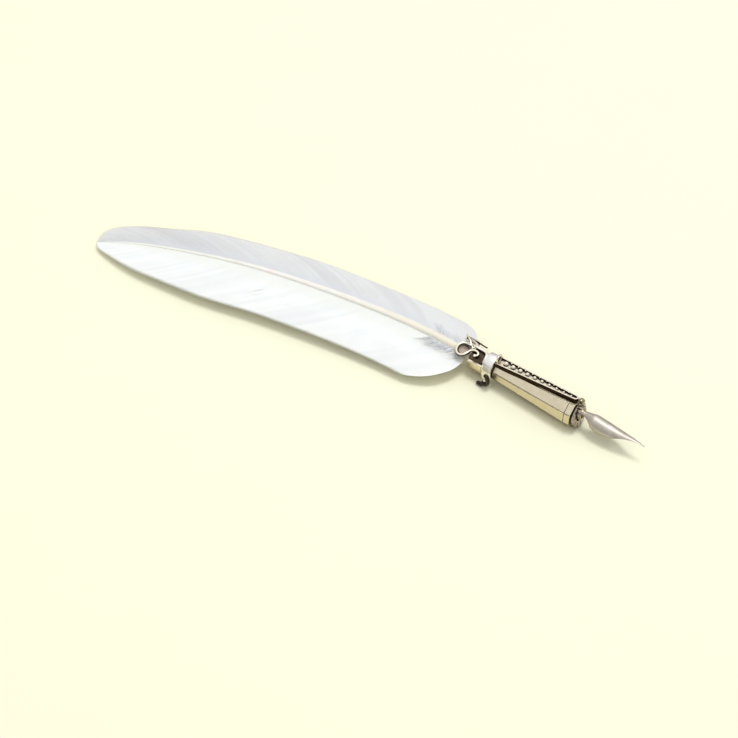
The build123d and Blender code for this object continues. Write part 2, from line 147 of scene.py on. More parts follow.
# ---- meshes ------------------------------------------------------------------------
class Shape:
    """Points in millimetres, faces, a material number per face and values per point."""

    def __init__(self):
        self.points, self.faces, self.surfaces, self.values = [], [], [], {}

    def add(self, points, faces, surface=0, **values):
        start = len(self.points)
        self.points.extend(map(tuple, points))
        self.faces.extend(tuple(start + i for i in face) for face in faces)
        self.surfaces.extend([surface] * len(faces))
        for key in set(self.values) | set(values):
            kept = self.values.setdefault(key, [])
            kept.extend([0.0] * (start - len(kept)))
            kept.extend(values.get(key, np.zeros(len(points))))
        return self

    def sleeve(self, rings, surface=0, **values):
        """Closed skin over rings of points, an array of rings by points by 3."""
        count, around = rings.shape[:2]
        faces = [(i * around + j, i * around + (j + 1) % around,
                  (i + 1) * around + (j + 1) % around, (i + 1) * around + j)
                 for i in range(count - 1) for j in range(around)]
        faces.append(tuple(reversed(range(around))))
        faces.append(tuple((count - 1) * around + j for j in range(around)))
        return self.add(rings.reshape(-1, 3), faces, surface, **values)


def rings_along(points, widths, heights, sides=12, stations=24, up=(0, 0, 1)):
    """Oval rings along a smooth line; widths and heights are (shares, half sizes) tables."""
    line = Smooth(points)
    shares = np.linspace(0, 1, stations)
    centres, ahead = line.at(shares), line.direction(shares)
    across = np.cross(ahead, np.array(up, float))
    across /= np.linalg.norm(across, axis=1)[:, None]
    over = np.cross(across, ahead)
    turn = 2 * np.pi * np.arange(sides) / sides
    wide, high = eased(shares, *widths), eased(shares, *heights)
    return (centres[:, None, :] + wide[:, None, None] * np.cos(turn)[None, :, None] * across[:, None, :]
            + high[:, None, None] * np.sin(turn)[None, :, None] * over[:, None, :])


def strand(shape, points, radius, tip=None, sides=12, stations=24, flat=1.0):
    """Round or flattened strand through points, from radius to tip radius, with domed ends."""
    tip = radius if tip is None else tip
    steps = [0, 0.015, 0.05, 0.95, 0.985, 1]
    sizes = [0.3 * radius, 0.8 * radius, radius, tip, 0.8 * tip, 0.3 * tip]
    heights = [flat * size for size in sizes]
    shape.sleeve(rings_along(points, (steps, sizes), (steps, heights), sides, stations))


def ball(shape, centre, radius):
    """Ball of stacked rings."""
    angles = np.radians(np.linspace(-88, 88, 17))
    turn = 2 * np.pi * np.arange(24) / 24
    rings = np.zeros((len(angles), len(turn), 3))
    rings[..., 0] = centre[0] + radius * np.cos(angles)[:, None] * np.cos(turn)
    rings[..., 1] = centre[1] + radius * np.cos(angles)[:, None] * np.sin(turn)
    rings[..., 2] = centre[2] + radius * np.sin(angles)[:, None]
    shape.sleeve(rings)


def cushion(shape, outline, bottom, top, crown, surface=0):
    """Solid plate with a smooth closed outline whose upper side swells by crown."""
    around, innermost = 64, 0.04
    loop = Smooth(list(outline) + [outline[0]])
    rim = loop.at(np.linspace(0, 1, around, endpoint=False))
    middle = rim.mean(axis=0)

    def level(share, height):
        return np.column_stack([middle + share * (rim - middle), np.full(around, height)])

    floor = [level(share, bottom) for share in (innermost, 0.5, 1)]
    upper = [level(share, top + crown * (1 - share ** 2)) for share in np.linspace(1, innermost, 7)]
    shape.sleeve(np.array(floor + upper)[::-1], surface)


def make_mesh(name, shape, materials):
    mesh = bpy.data.meshes.new(name)
    mesh.from_pydata(shape.points, [], shape.faces)
    for material in materials:
        mesh.materials.append(material)
    mesh.polygons.foreach_set("material_index", shape.surfaces)
    mesh.polygons.foreach_set("use_smooth", [True] * len(shape.faces))
    for key, values in shape.values.items():
        attribute = mesh.attributes.new(key, "FLOAT", "POINT")
        attribute.data.foreach_set("value", np.array(values, np.float32))
    mesh.update()
    return mesh


def add_piece(name, shape, materials, body, replaced=()):
    """New piece of the object from a shape in millimetres."""
    mesh = make_mesh(name, shape, materials)
    mesh.transform(Matrix.Scale(MM, 4))
    piece = bpy.data.objects.new(name, mesh)
    bpy.context.scene.collection.objects.link(piece)
    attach(piece, body)
    if replaced:
        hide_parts(*replaced)
    return piece


def fused(shape, voxel):
    """The shape as one casting: its parts melted together by a voxel remesh, in millimetres."""
    mesh = make_mesh("melt", shape, [])
    piece = bpy.data.objects.new("melt", mesh)
    bpy.context.scene.collection.objects.link(piece)
    remesh = piece.modifiers.new("remesh", "REMESH")
    remesh.mode = "VOXEL"
    remesh.voxel_size = voxel
    remesh.adaptivity = 0.0
    soften = piece.modifiers.new("soften", "SMOOTH")
    soften.factor = 0.5
    soften.iterations = 3
    melted = bpy.data.meshes.new_from_object(piece.evaluated_get(bpy.context.evaluated_depsgraph_get()))
    bpy.data.objects.remove(piece)
    result = Shape()
    result.add([tuple(vertex.co) for vertex in melted.vertices],
               [tuple(face.vertices) for face in melted.polygons])
    return result


def bevel(node, width):
    """Rounds a CAD node's edges by modifiers; its own mesh stays as packed."""
    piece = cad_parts[node]
    weld = piece.modifiers.new("weld", "WELD")
    weld.merge_threshold = 0.002 * MM
    rounding = piece.modifiers.new("bevel", "BEVEL")
    rounding.width = width * MM
    rounding.segments = 2
    rounding.limit_method = "ANGLE"
    rounding.angle_limit = math.radians(28)
    rounding.use_clamp_overlap = True
    rounding.harden_normals = False


# ---- materials ---------------------------------------------------------------------
class Nodes:
    """Short names for building a node material; positions are in millimetres of the row frame."""

    def __init__(self, name):
        self.material = bpy.data.materials.new(name)
        self.material.use_nodes = True
        self.tree = self.material.node_tree
        self.shader = self.tree.nodes["Principled BSDF"]

    def node(self, kind, **settings):
        made = self.tree.nodes.new(kind)
        for key, value in settings.items():
            if key in made.inputs:
                self.feed(made.inputs[key], value)
            else:
                setattr(made, key, value)
        return made

    def feed(self, socket, value):
        if isinstance(value, bpy.types.NodeSocket):
            self.tree.links.new(value, socket)
        else:
            socket.default_value = value

    def place(self, stretch=(1, 1, 1)):
        """Position in millimetres, stretched."""
        coordinates = self.node("ShaderNodeTexCoord").outputs["Object"]
        scale = tuple(factor / MM for factor in stretch)
        return self.node("ShaderNodeMapping", Vector=coordinates, Scale=scale).outputs["Vector"]

    def noise(self, scale, detail=3.0, stretch=(1, 1, 1)):
        return self.node("ShaderNodeTexNoise", Vector=self.place(stretch), Scale=scale, Detail=detail,
                         Roughness=0.55).outputs["Fac"]

    def attribute(self, key):
        return self.node("ShaderNodeAttribute", attribute_name=key).outputs["Fac"]

    def span(self, value, low, high, to_low=0.0, to_high=1.0):
        made = self.node("ShaderNodeMapRange", interpolation_type="SMOOTHSTEP")
        for socket, given in zip(made.inputs, (value, low, high, to_low, to_high)):
            self.feed(socket, given)
        return made.outputs["Result"]

    def math(self, operation, first, second=0.0):
        made = self.node("ShaderNodeMath", operation=operation)
        self.feed(made.inputs[0], first)
        self.feed(made.inputs[1], second)
        return made.outputs[0]

    def mix(self, factor, first, second):
        made = self.node("ShaderNodeMix", data_type="RGBA")
        self.feed(made.inputs["Factor"], factor)
        for index, colour in ((6, first), (7, second)):
            self.feed(made.inputs[index], (*colour, 1) if isinstance(colour, tuple) else colour)
        return made.outputs[2]

    def hollow(self, reach):
        """0 in a narrow recess, 1 on open metal; reach is in millimetres."""
        occlusion = self.node("ShaderNodeAmbientOcclusion", Distance=reach * MM, samples=8)
        # Other objects occlude as well, so metal right by the floor is darkened too: painted contact shade
        # there, patina in the recesses.
        occlusion.only_local = False
        return occlusion.outputs["AO"]

    def facing_up(self, normal):
        """How far the surface faces up, -1 to 1; normal is "Normal" or "True Normal"."""
        geometry = self.node("ShaderNodeNewGeometry")
        return self.node("ShaderNodeSeparateXYZ", Vector=geometry.outputs[normal]).outputs["Z"]

    def bump(self, height, depth):
        """Relief of height between 0 and 1, depth in millimetres."""
        return self.node("ShaderNodeBump", Height=height, Distance=depth * MM, Strength=1.0).outputs["Normal"]

    def finish(self, **sockets):
        for name, value in sockets.items():
            self.feed(self.shader.inputs[name.replace("_", " ")], value)
        return self.material


def aged_metal(name, pale, tarnish, patina, roughness, reach=1.2, recess=(0.35, 0.8), grain=0.004,
               under=None):
    """Cast or turned metal: patina in recesses, uneven tarnish, fine scratches, and, where an under colour is
    given, painted shade on side and downward faces.
    """
    n = Nodes(name)
    cloud = n.noise(0.45, 4)
    fine = n.noise(4.0, 3)
    worn = n.mix(n.span(cloud, 0.38, 0.68), pale, tarnish)
    # Painted shade: faces turning sideways and down take the under colour.
    if under:
        worn = n.mix(n.span(n.facing_up("Normal"), -0.6, 0.5), under, worn)
    open_metal = n.math("ADD", n.hollow(reach), n.math("MULTIPLY", n.math("SUBTRACT", fine, 0.5), 0.15))
    clean = n.span(open_metal, *recess)
    colour = n.mix(clean, patina, worn)
    scratches = n.noise(3.0, 2, stretch=(0.15, 2.5, 2.5))
    rough = n.math("ADD", n.span(clean, 0, 1, 0.55, roughness), n.math("MULTIPLY", scratches, 0.10))
    normal = n.bump(n.noise(9.0, 3), grain)
    return n.finish(Base_Color=colour, Metallic=1.0, Roughness=rough, Normal=normal)


def patina_and_wall_shade_metal(name, pale, tarnish, patina, roughness, turn=(0.35, 0.85), recess=(0.45, 0.78)):
    """Metal that is pale where it faces up, with dark patina in recesses and painted shade in the same dark
    colour on its side walls.
    """
    n = Nodes(name)
    # Painted shade: faces that turn from up towards the side take the dark colour.
    level = n.span(n.facing_up("True Normal"), *turn)
    cloud = n.noise(0.8, 4)
    open_metal = n.math("MULTIPLY", n.span(n.hollow(0.9), *recess), level)
    worn = n.mix(n.span(cloud, 0.4, 0.7), pale, tarnish)
    colour = n.mix(open_metal, patina, worn)
    rough = n.math("ADD", n.span(open_metal, 0, 1, 0.5, roughness), n.math("MULTIPLY", cloud, 0.08))
    return n.finish(Base_Color=colour, Metallic=1.0, Roughness=rough, Normal=n.bump(n.noise(7.0, 3), 0.005))


def polished_metal(name, colour, shade, roughness):
    """Bright plated metal with faint cloudiness and hairline scratches."""
    n = Nodes(name)
    cloud = n.noise(0.6, 3)
    hairlines = n.noise(5.0, 2, stretch=(0.1, 1.6, 1.6))
    tone = n.mix(n.span(cloud, 0.35, 0.75), colour, shade)
    rough = n.math("ADD", roughness, n.math("MULTIPLY", hairlines, 0.08))
    return n.finish(Base_Color=tone, Metallic=1.0, Roughness=rough, Normal=n.bump(hairlines, 0.0015))


def pearl_paste(name):
    """Cream pearl: soft gloss, slight depth, dusty patina where it meets its bed."""
    n = Nodes(name)
    clean = n.span(n.hollow(0.5), 0.3, 0.62)
    body = n.mix(n.noise(1.5, 3), (0.93, 0.87, 0.72), (0.86, 0.78, 0.60))
    colour = n.mix(clean, (0.20, 0.13, 0.06), body)
    return n.finish(Base_Color=colour, Roughness=0.28, Coat_Weight=0.4, Coat_Roughness=0.15,
                    Subsurface_Weight=0.15, Subsurface_Scale=0.6 * MM, Normal=n.bump(n.noise(6.0, 2), 0.003))


def barb_white(name, body, shade, near_shaft):
    """Feather barbs: matt white with a soft sheen, each barb of a slightly different tone."""
    n = Nodes(name)
    tone = n.attribute("tone")
    along = n.attribute("along")
    streak = n.mix(n.span(tone, 0.15, 0.95), body, shade)
    clouded = n.mix(n.span(n.noise(0.12, 3), 0.35, 0.75, 0.0, 0.45), streak, shade)
    warm = n.mix(n.span(along, 0.04, 0.34, 0.75, 0.0), clouded, near_shaft)
    barbules = n.noise(3.5, 2, stretch=(3.0, 0.6, 1.0))
    return n.finish(Base_Color=warm, Roughness=0.62, Sheen_Weight=0.35, Sheen_Roughness=0.4,
                    Subsurface_Weight=0.12, Subsurface_Scale=0.8 * MM, Specular_IOR_Level=0.35,
                    Normal=n.bump(barbules, 0.02))


def quill_horn(name):
    """Shaft: smooth ivory horn with long faint streaks."""
    n = Nodes(name)
    share = n.attribute("share")
    streaks = n.noise(1.6, 3, stretch=(0.06, 1.6, 1.6))
    body = n.mix(n.span(share, 0.0, 0.45), (0.84, 0.80, 0.68), (0.90, 0.89, 0.84))
    colour = n.mix(n.span(streaks, 0.45, 0.75, 0.0, 0.5), body, (0.74, 0.69, 0.55))
    return n.finish(Base_Color=colour, Roughness=0.34, Coat_Weight=0.25, Coat_Roughness=0.25,
                    Subsurface_Weight=0.2, Subsurface_Scale=1.0 * MM, Normal=n.bump(streaks, 0.02))


def nib_steel(name):
    """Plated steel nib: satin, lightly stained, with painted shade darkening it towards its long rolled
    edges.
    """
    n = Nodes(name)
    edge = n.attribute("edge")
    stain = n.noise(0.35, 4)
    fine = n.noise(6.0, 2, stretch=(0.12, 1.5, 1.5))
    body = n.mix(n.span(stain, 0.36, 0.66), (0.56, 0.52, 0.47), (0.49, 0.44, 0.38))
    # Painted shade along the nib's long edges.
    colour = n.mix(n.span(edge, 0.90, 1.0), body, (0.26, 0.23, 0.16))
    rough = n.math("ADD", 0.42, n.math("MULTIPLY", fine, 0.12))
    return n.finish(Base_Color=colour, Metallic=1.0, Roughness=rough, Normal=n.bump(fine, 0.002))


def resin(name):
    n = Nodes(name)
    colour = n.mix(n.noise(0.8, 3), (0.62, 0.53, 0.33), (0.46, 0.37, 0.20))
    return n.finish(Base_Color=colour, Roughness=0.35, Normal=n.bump(n.noise(2.0, 3), 0.03))


# GOLD's under colour is painted shade on the side and downward faces of the gold parts.
GOLD = aged_metal("antique_gold", (0.84, 0.76, 0.58), (0.78, 0.69, 0.50), (0.05, 0.03, 0.012), 0.26,
                  reach=0.5, recess=(0.76, 0.95), grain=0.002, under=(0.46, 0.38, 0.20))
NOSE = aged_metal("antique_silver", (0.50, 0.44, 0.37), (0.36, 0.30, 0.24), (0.020, 0.012, 0.006), 0.28,
                  reach=1.1, recess=(0.50, 0.92))
PALE_CAST = aged_metal("pale_casting", (0.88, 0.82, 0.68), (0.76, 0.69, 0.54), (0.06, 0.035, 0.015), 0.26,
                       reach=0.7, recess=(0.25, 0.60), grain=0.006)
OLIVE = aged_metal("olive_casting", (0.46, 0.42, 0.29), (0.34, 0.30, 0.19), (0.03, 0.02, 0.008), 0.3,
                   reach=0.9, recess=(0.35, 0.8))
DARK_CAST = aged_metal("dark_casting", (0.17, 0.125, 0.09), (0.09, 0.062, 0.042), (0.008, 0.004, 0.002), 0.42,
                       reach=1.8, recess=(0.50, 0.97), grain=0.05)
LEAF_FLOOR = aged_metal("leaf_floor", (0.40, 0.33, 0.27), (0.30, 0.24, 0.19), (0.012, 0.007, 0.003), 0.42,
                        reach=0.9, recess=(0.40, 0.90), grain=0.05)
# Near-black for the volutes and the eye's disc: dark metal with painted shade in the volutes' curls and
# tails, and painted shade filling the eye's hole.
DARK_PATINA_AND_SHADE = aged_metal("patina", (0.075, 0.06, 0.05), (0.045, 0.035, 0.028), (0.01, 0.007, 0.004), 0.38,
                    grain=0.01)
# Pale rails and rims with painted shade on their side walls.
BAR = patina_and_wall_shade_metal("bar_metal", (0.95, 0.87, 0.71), (0.84, 0.75, 0.58), (0.035, 0.02, 0.008), 0.34,
                  recess=(0.62, 0.92))
RIM = patina_and_wall_shade_metal("rim_metal", (1.0, 0.94, 0.79), (0.93, 0.85, 0.68), (0.03, 0.018, 0.008), 0.36,
                  turn=(0.15, 0.6), recess=(0.15, 0.45))
BAND = polished_metal("band_silver", (0.98, 0.97, 0.96), (0.95, 0.94, 0.91), 0.24)
BRASS = polished_metal("sleeve_brass", (0.60, 0.52, 0.36), (0.45, 0.37, 0.24), 0.28)
PEARL = pearl_paste("pearl")
RESIN = resin("resin")
QUILL = quill_horn("quill_horn")
STEEL = nib_steel("nib_steel")
WIDE_BARBS = barb_white("wide_barbs", (0.95, 0.94, 0.925), (0.88, 0.875, 0.87), (0.90, 0.88, 0.82))
# The narrow vane's barbs are a greyer copy of the white barbs: painted shade on the far vane.
SHADED_NARROW_BARBS = barb_white("narrow_barbs_painted_shade", (0.78, 0.77, 0.77), (0.70, 0.69, 0.70), (0.72, 0.72, 0.76))
DOWN = barb_white("down", (0.82, 0.84, 0.87), (0.72, 0.75, 0.79), (0.80, 0.81, 0.84))


# ---- feather -----------------------------------------------------------------------
def shaft_points():
    """Middle line of the shaft from the tube to the tip, as in the CAD."""
    length = TUBE_BACK - FEATHER_TIP[0]
    line = [(TUBE_BACK, 0.0, AXIS_Z)]
    for x, y in SHAFT_LINE:
        share = (TUBE_BACK - x) / length
        line.append((x, y, AXIS_Z + SHAFT_RISE * share - SHAFT_FALL * share ** 2))
    return line


SHAFT = Smooth(shaft_points())


def feather_shaft():
    """Shaft with flattened flanks and a groove below, and the round quill inside the tube."""
    stations, sides = 170, 28
    shares = np.linspace(0, 1, stations)
    centres, ahead = SHAFT.at(shares), SHAFT.direction(shares)
    inside = np.linspace(QUILL_FRONT, TUBE_BACK + 1, 6)
    centres = np.vstack([np.column_stack([inside, 0 * inside, 0 * inside + AXIS_Z]), centres])
    ahead = np.vstack([np.tile((-1.0, 0.0, 0.0), (6, 1)), ahead])
    shares = np.concatenate([np.zeros(6), shares])
    radius = eased(shares, *SHAFT_TAPER)
    across = np.cross(ahead, (0, 0, 1.0))
    across /= np.linalg.norm(across, axis=1)[:, None]
    over = np.cross(across, ahead)
    turn = 2 * np.pi * np.arange(sides) / sides
    grooved = np.clip((shares - 0.05) / 0.15, 0, 1)
    below = np.exp(-((turn - 1.5 * np.pi) / 0.38) ** 2)
    squared = 1 / (np.abs(np.cos(turn)) ** 2.6 + np.abs(np.sin(turn)) ** 2.6) ** (1 / 2.6)
    reach = radius[:, None] * (1 + grooved[:, None] * (squared - 1) * 0.8)
    reach = reach * (1 - 0.30 * grooved[:, None] * below[None, :])
    rings = (centres[:, None, :] + (reach * np.cos(turn))[..., None] * across[:, None, :]
             + (reach * 0.95 * np.sin(turn))[..., None] * over[:, None, :])
    shape = Shape()
    shape.sleeve(rings, share=np.repeat(shares, sides))
    return add_piece("quill_shaft", shape, [QUILL], "holder", ["feather_shaft"])


def drift(count, seed, lengths=(7, 23, 61)):
    """Smooth random wander along a row of barbs, about -1 to 1, the same each run."""
    random = np.random.default_rng(seed)
    total = np.zeros(count)
    for length in lengths:
        knots = random.uniform(-1, 1, count // length + 3)
        total += np.interp(np.arange(count) / length, np.arange(len(knots)), knots)
    return total / len(lengths)


class Vane:
    """One half of the web: where each barb leaves the shaft, how it bends and where it ends."""

    def __init__(self, side, edge, sweep, bulge, droop):
        self.side, self.edge, self.sweep = side, Smooth(edge), sweep
        self.bulge, self.droop = bulge, droop

    def surface(self, share, along):
        """Points of the web for arrays of share (along the shaft) and along (down the barb)."""
        root_share = 0.008 + 0.985 * share
        root, ahead = SHAFT.at(root_share), SHAFT.direction(root_share)
        radius = eased(root_share, *SHAFT_TAPER)
        out = np.column_stack([-ahead[:, 1], ahead[:, 0]]) * -self.side
        out /= np.linalg.norm(out, axis=1)[:, None]
        start = root[:, :2] + out * (0.7 * radius)[:, None]
        end = self.edge.at(1 - (1 - share) ** self.sweep)
        chord = end - start
        bulge = self.bulge + (ROOT_BULGE - self.bulge) * np.exp(-share / 0.06)
        normal = np.column_stack([chord[:, 1], -chord[:, 0]]) * self.side
        control = start + 0.5 * chord + normal * bulge[:, None]
        t = along[:, None]
        flat = (1 - t) ** 2 * start + 2 * t * (1 - t) * control + t * t * end
        width = np.linalg.norm(chord, axis=1)
        drop = self.droop * width * (1 - share ** 2)
        dip = 0.35 * radius * np.sin(np.pi * np.clip(along / 0.45, 0, 1))
        height = root[:, 2] + 0.25 * radius - drop * along ** 1.5 - dip
        return np.column_stack([flat, np.maximum(height, TABLE_GAP)])


def vane_barbs(name, vane, slits, seed, material, node):
    """All barbs of one vane, each its own thin strip with a raised midrib."""
    random = np.random.default_rng(seed)
    along = np.linspace(0, 1, BARB_STATIONS) ** 0.9
    tone, lift = drift(BARBS, seed), drift(BARBS, seed + 1, (5, 17, 41))
    reach = 1 - 0.010 * random.random(BARBS) - 0.006 * np.abs(drift(BARBS, seed + 2, (3, 9)))
    taper = np.where(along < 0.93, 1.0, 1 - 0.85 * (along - 0.93) / 0.07)
    taper[0] = 0.9
    shape = Shape()
    corner_faces = [(i * 4 + j, i * 4 + (j + 1) % 4, (i + 1) * 4 + (j + 1) % 4, (i + 1) * 4 + j)
                    for i in range(BARB_STATIONS - 1) for j in range(4)]
    corner_faces += [(3, 2, 1, 0), tuple((BARB_STATIONS - 1) * 4 + j for j in range(4))]
    for barb in range(BARBS):
        middle = (barb + 0.5) / BARBS
        half = 0.5 / BARBS
        where = along * reach[barb]
        ridge = vane.surface(np.full(BARB_STATIONS, middle), where)
        before = vane.surface(np.full(BARB_STATIONS, max(middle - half, 0)), where)
        after = vane.surface(np.full(BARB_STATIONS, min(middle + half, 1)), where)
        before = ridge + (before - ridge) * taper[:, None]
        after = ridge + (after - ridge) * taper[:, None]
        wander = 0.05 * lift[barb] * along ** 0.7
        strip = np.stack([before, ridge, after, ridge.copy()], axis=1)
        strip[:, :, 2] += wander[:, None]
        strip[:, 1, 2] += BARB_RIDGE * (1 - 0.4 * along)
        strip[:, 3, 2] -= BARB_KEEL * (1 - 0.4 * along)
        for share, centre, spread, opening in slits:
            away = middle - share
            push = opening / 2 * np.exp(-((along - centre) / spread) ** 2) * math.exp(-abs(away) / 0.012)
            heading = SHAFT.direction(share)[0]
            strip += (math.copysign(1, away) * push)[:, None, None] * heading
        strip[:, :, 2] = np.maximum(strip[:, :, 2], 0.12)
        shape.add(strip.reshape(-1, 3), corner_faces, tone=np.full(4 * BARB_STATIONS, 0.5 + tone[barb]),
                  along=np.repeat(along, 4))
    piece = add_piece(name, shape, [material], "holder", [node])
    piece.data.set_sharp_from_angle(angle=math.radians(50))
    return piece


def downy_base():
    """Soft down beside the shaft where the vanes begin: fine wisps that lie on the web."""
    random = np.random.default_rng(11)
    shape = Shape()
    for _ in range(DOWN_WISPS):
        x = random.uniform(DOWN_BACK, DOWN_FRONT)
        side = NEAR if random.random() < 0.6 else FAR
        root = SHAFT.at((TUBE_BACK - x) / (TUBE_BACK - FEATHER_TIP[0]))[0]
        reach = random.uniform(2.0, 6.0)
        sweep = random.uniform(0.5, 1.3)
        start = root + np.array([0, side * 1.4, random.uniform(0.2, 0.6)])
        points = [start]
        for step in range(1, 5):
            share = step / 4
            curl = random.normal(0, 0.10, 3)
            offset = (-sweep * reach * share ** 1.4, side * reach * share, 0.15 * share - 0.4 * share ** 2)
            points.append(start + np.array(offset) + curl)
        strand(shape, points, 0.09, 0.02, sides=5, stations=12)
    return add_piece("down_tuft", shape, [DOWN], "holder")


def feather():
    feather_shaft()
    wide = Vane(NEAR, WIDE_EDGE, sweep=1.28, bulge=0.12, droop=0.105)
    narrow = Vane(FAR, NARROW_EDGE, sweep=1.38, bulge=0.10, droop=0.10)
    # slits where barbs have parted: share of the shaft, place along the barb, spread, opening
    wide_slits = [(0.490, 0.42, 0.09, 0.30), (0.470, 0.52, 0.06, 0.15), (0.430, 0.38, 0.05, 0.22)]
    narrow_slits = [(0.36, 1.0, 0.10, 0.6)]
    vane_barbs("wide_vane_barbs", wide, wide_slits, 3, WIDE_BARBS, "wide_vane")
    vane_barbs("narrow_vane_barbs", narrow, narrow_slits, 5, SHADED_NARROW_BARBS, "narrow_vane")
    downy_base()


# ---- nib ---------------------------------------------------------------------------
NIB_WALL = 0.25
NIB_X = [NIB_BACK, 4.2, 6.6, 8.8, 11.0, 13.6, 16.0, 17.6, 19.4, 22.2, 25.2, NIB_TIP]
NIB_RADIUS = [1.55, 1.55, 2.1, 2.95, 3.1, 3.05, 2.85, 2.7, 2.45, 1.95, 1.35, 0.55]
NIB_UP = [0.9, 0.9, 0.60, -0.05, -0.45, -0.65, -0.70, -0.68, -0.55, -0.15, 0.35, 0.65]
NIB_HALF_ANGLE = [55, 55, 76, 100, 100, 96, 88, 76, 60, 42, 28, 20]
VENT_X, VENT_HALF, VENT_R = 17.6, 0.85, 0.275
SLIT_HALF = 0.04


def nib_gap(x):
    """Half the opening between the nib's halves at x: none, the vent slot, then the slit."""
    gap = np.where(x > VENT_X, SLIT_HALF, 0.0)
    past_straight = np.clip(np.abs(x - VENT_X) - (VENT_HALF - VENT_R), 0, None)
    vent = np.sqrt(np.clip(VENT_R ** 2 - past_straight ** 2, 0, None))
    return np.maximum(gap, vent)


def nib():
    """Pressed steel nib: strap tail, wide shoulders, vent slot, slit and two tines."""
    near_vent = VENT_X + VENT_HALF * np.sin(np.linspace(-np.pi / 2, np.pi / 2, 17))
    x = np.unique(np.concatenate([np.linspace(NIB_BACK, 4, 10), np.linspace(4.2, 16.5, 45), near_vent,
                                  np.linspace(18.7, NIB_TIP, 40)]))
    radius, up = eased(x, NIB_X, NIB_RADIUS), eased(x, NIB_X, NIB_UP)
    reach = np.radians(eased(x, NIB_X, NIB_HALF_ANGLE))
    gap = nib_gap(x) / radius
    columns = np.linspace(0, 1, 19)
    shape = Shape()
    for side in (NEAR, FAR):
        angle = side * (gap[:, None] + (reach - gap)[:, None] * columns[None, :])
        layers = []
        for wall in (0, NIB_WALL):
            r = (radius - wall)[:, None]
            layer = np.stack([np.broadcast_to(x[:, None], angle.shape), r * np.sin(angle),
                              AXIS_Z + up[:, None] + r * np.cos(angle)], axis=-1)
            layers.append(layer)
        loop = np.concatenate([layers[0], layers[1][:, ::-1]], axis=1)
        across = np.concatenate([columns, columns[::-1]])
        shape.sleeve(loop if side == NEAR else loop[:, ::-1], edge=np.tile(across, len(x)))
    piece = add_piece("pen_nib", shape, [STEEL], "nib", ["nib"])
    edges = piece.modifiers.new("edges", "BEVEL")
    edges.width = 0.05 * MM
    edges.segments = 2
    edges.limit_method = "ANGLE"
    edges.angle_limit = math.radians(50)


# ---- cast ornament -----------------------------------------------------------------
MELT, FINE_MELT = 0.07, 0.06            # grain of the castings' skins
LEAF_RIM_R, CURL_R, CURL_TIP_R, BALL_R = 0.52, 0.50, 0.42, 0.72
SADDLE_RIM_R, SADDLE_RIM_TIP_R = 0.72, 0.5
VOLUTE_HALF_X, VOLUTE_HALF_Z = 1.25, 1.9
VOLUTE_WIRE_R, VOLUTE_TAIL_R, VOLUTE_BALL_R = 0.6, 0.78, 0.66
EYE_R, EYE_WIRE_R, EYE_SHADE_DISC_R, EYE_SHADE_DISC_HALF = 1.4, 0.45, 1.2, 0.12
ROLL_R, ROLL_END_R = 1.0, 0.42          # the bar's rolled end, outermost and innermost
LEAF_OUTLINE = [(-44.4, 0.2), (-46.6, 1.4), (-48.6, 0.9), (-49.1, -1.4), (-48.1, -3.5), (-46.1, -4.2),
                (-44.8, -3.1), (-44.2, -1.4)]


def over_axis(points):
    return [(x, y, AXIS_Z + up) for x, y, up in points]


def leaf_scroll():
    """Spoon leaf: dark stippled floor inside a raised rim."""
    rim = Shape()
    strand(rim, over_axis([(-44.3, 0.8, 3.3), (-45.4, 1.4, 3.2), (-46.9, 1.6, 3.1), (-48.6, 1.1, 3.0),
                           (-49.3, -0.3, 2.9), (-49.2, -2.0, 2.8), (-48.2, -3.7, 2.7), (-46.7, -4.5, 2.7),
                           (-45.3, -4.1, 2.9), (-44.5, -3.0, 3.3), (-44.0, -1.7, 3.6)]),
           LEAF_RIM_R, stations=70, flat=1.1)
    cushion(rim, LEAF_OUTLINE, AXIS_Z + 2.1, AXIS_Z + 2.5, 0.0)
    shape = fused(rim, MELT)
    cushion(shape, [(x * 0.86 - 6.5, y * 0.86 - 0.15) for x, y in LEAF_OUTLINE], AXIS_Z + 2.3,
            AXIS_Z + 2.6, 0.2, surface=1)
    add_piece("cast_leaf", shape, [RIM, LEAF_FLOOR], "holder", ["leaf_scroll"])


def leaf_curl():
    """The leaf's stem: it runs on from the rim and curls round to a ball."""
    curl = Shape()
    strand(curl, over_axis([(-44.2, -2.1, 3.6), (-43.6, -1.15, 3.9), (-42.7, -0.7, 4.1), (-41.7, -0.6, 4.2),
                            (-40.8, -0.95, 4.2), (-40.35, -1.7, 4.1), (-40.5, -2.5, 4.0)]),
           CURL_R, CURL_TIP_R, stations=50)
    ball(curl, (-40.95, -2.75, AXIS_Z + 3.9), BALL_R)
    add_piece("cast_curl", fused(curl, FINE_MELT), [RIM], "holder", ["leaf_curl"])


def saddle_lining():
    """Dark stippled floor in the saddle's hollow."""
    turn = np.radians(np.linspace(-60, 36, 40))

    def arc(x, radius, angles):
        return [(x, radius * math.sin(a), AXIS_Z + radius * math.cos(a)) for a in angles]

    rings = [arc(x, HOLLOW_R + 0.10, turn) + arc(x, HOLLOW_R - 0.05, turn[::-1])
             for x in np.linspace(SADDLE_BACK + 0.15, band_low[0], 40)]
    sheet = Shape()
    sheet.sleeve(np.array(rings))
    add_piece("saddle_lining", sheet, [DARK_CAST], "holder")


def saddle_rim():
    """Broad pale rim along the saddle's far edge that turns down beside the band."""
    rims = Shape()
    strand(rims, over_axis([(-44.7, 2.1, 3.5), (-43.5, 1.75, 3.85), (-41.7, 1.55, 4.0),
                            (-39.9, 1.5, 4.05), (-38.5, 1.05, 4.1), (-37.5, -0.4, 4.15),
                            (-37.15, -2.0, 3.65), (-37.05, -3.2, 2.75)]),
           SADDLE_RIM_R, SADDLE_RIM_TIP_R, stations=70, flat=0.75)
    strand(rims, over_axis([(-44.3, 0.1, 3.4), (-43.9, 0.9, 3.6), (-43.3, 1.7, 3.9)]), 0.38, stations=20)
    add_piece("saddle_rim", fused(rims, MELT), [RIM], "holder")


